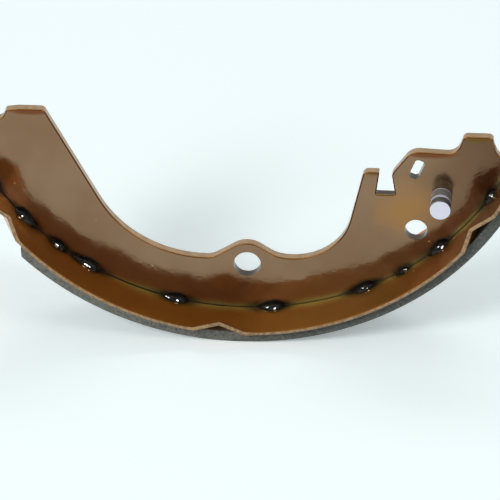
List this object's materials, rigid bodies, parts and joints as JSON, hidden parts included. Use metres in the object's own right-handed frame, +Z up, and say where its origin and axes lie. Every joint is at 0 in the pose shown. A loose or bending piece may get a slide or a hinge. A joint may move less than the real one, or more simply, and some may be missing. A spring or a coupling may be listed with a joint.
{
  "type": "brake shoe",
  "caption": "Drum brake shoe: curved rim with pressed edge nibs, welded stamped web with anchor and cylinder tabs, strut notch, lever pin and bonded friction lining.",
  "frame": {"origin": "centre of the hold-down hole, at the middle of the web's thickness", "axes": "+Z up from the lining's lowest point through the hold-down hole's height towards the drum's axis, which runs along Y above the web; +X from the anchor end to the cylinder end; the lever pin points along -Y"},
  "size_m": [0.2048, 0.041, 0.087],
  "materials": {
    "web_lacquer": "clear amber lacquer over bare steel, glossy",
    "rim_lacquer": "clear amber lacquer over bare steel, glossy",
    "friction_lining": "ground moulded friction material, matt, speckled",
    "plated_pin": "zinc-plated steel, satin",
    "weld_metal": "dark weld beads under the same lacquer, glossy"
  },
  "bodies": {
    "root": {"web": "web_lacquer", "rim": "rim_lacquer", "lining": "friction_lining", "lever_pin": "plated_pin", "weld_nuggets": "weld_metal"}
  },
  "joints": []
}
